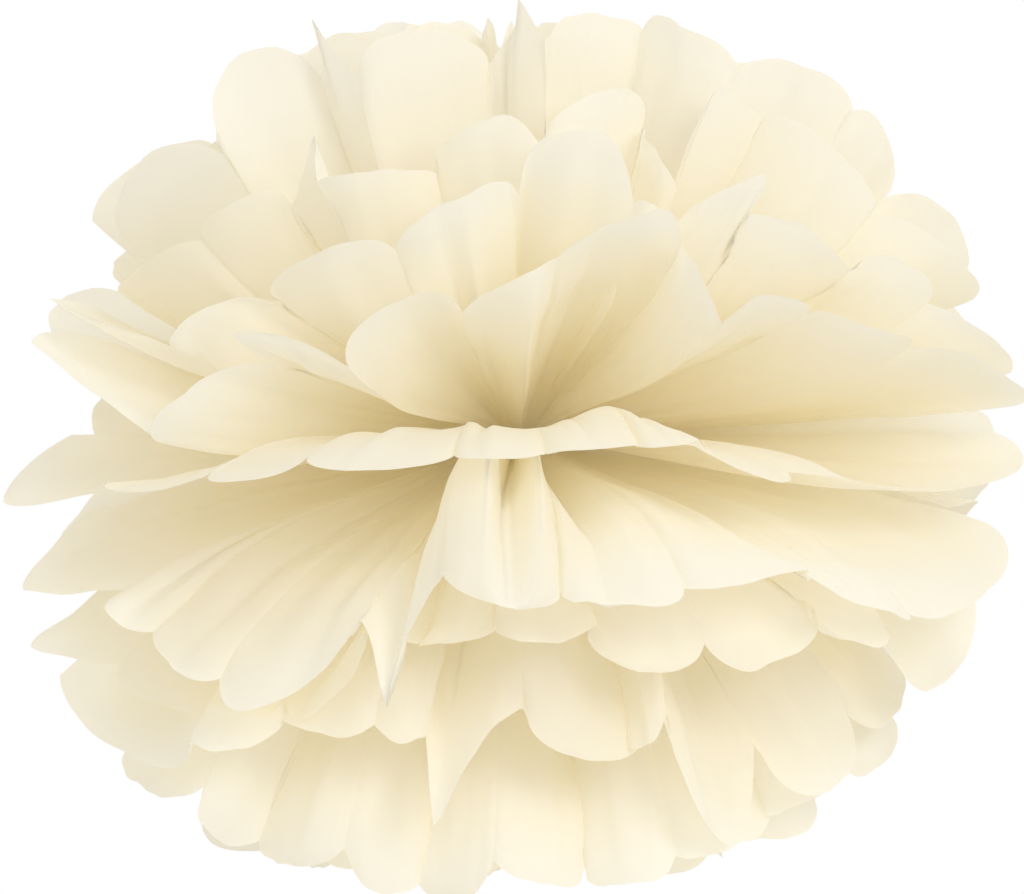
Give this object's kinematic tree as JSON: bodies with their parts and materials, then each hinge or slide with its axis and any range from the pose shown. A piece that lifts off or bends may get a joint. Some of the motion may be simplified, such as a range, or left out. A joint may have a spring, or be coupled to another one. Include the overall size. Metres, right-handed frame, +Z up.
{
  "type": "tissue paper pom pom",
  "caption": "Ball of pleated ivory tissue sheets, tied across the middle with wire and fluffed into rounded petals, to hang as a decoration.",
  "frame": {"origin": "middle of the tied bundle, where the wire crosses the sheets", "axes": "+Z up through the upper tuft, -Y towards the viewer of the picture, +X to the viewer's right along the line where the sheets open like pages"},
  "size_m": [0.2564, 0.2434, 0.2226],
  "materials": {
    "tissue_paper": "matt, slightly translucent ivory tissue",
    "binding_wire": "satin"
  },
  "bodies": {
    "root": {"upper_sheet_1": "tissue_paper", "upper_sheet_2": "tissue_paper", "upper_sheet_3": "tissue_paper", "upper_sheet_4": "tissue_paper", "upper_sheet_5": "tissue_paper", "upper_sheet_6": "tissue_paper", "lower_sheet_1": "tissue_paper", "lower_sheet_2": "tissue_paper", "lower_sheet_3": "tissue_paper", "lower_sheet_4": "tissue_paper", "lower_sheet_5": "tissue_paper", "lower_sheet_6": "tissue_paper", "tie_wire": "binding_wire"}
  },
  "joints": []
}
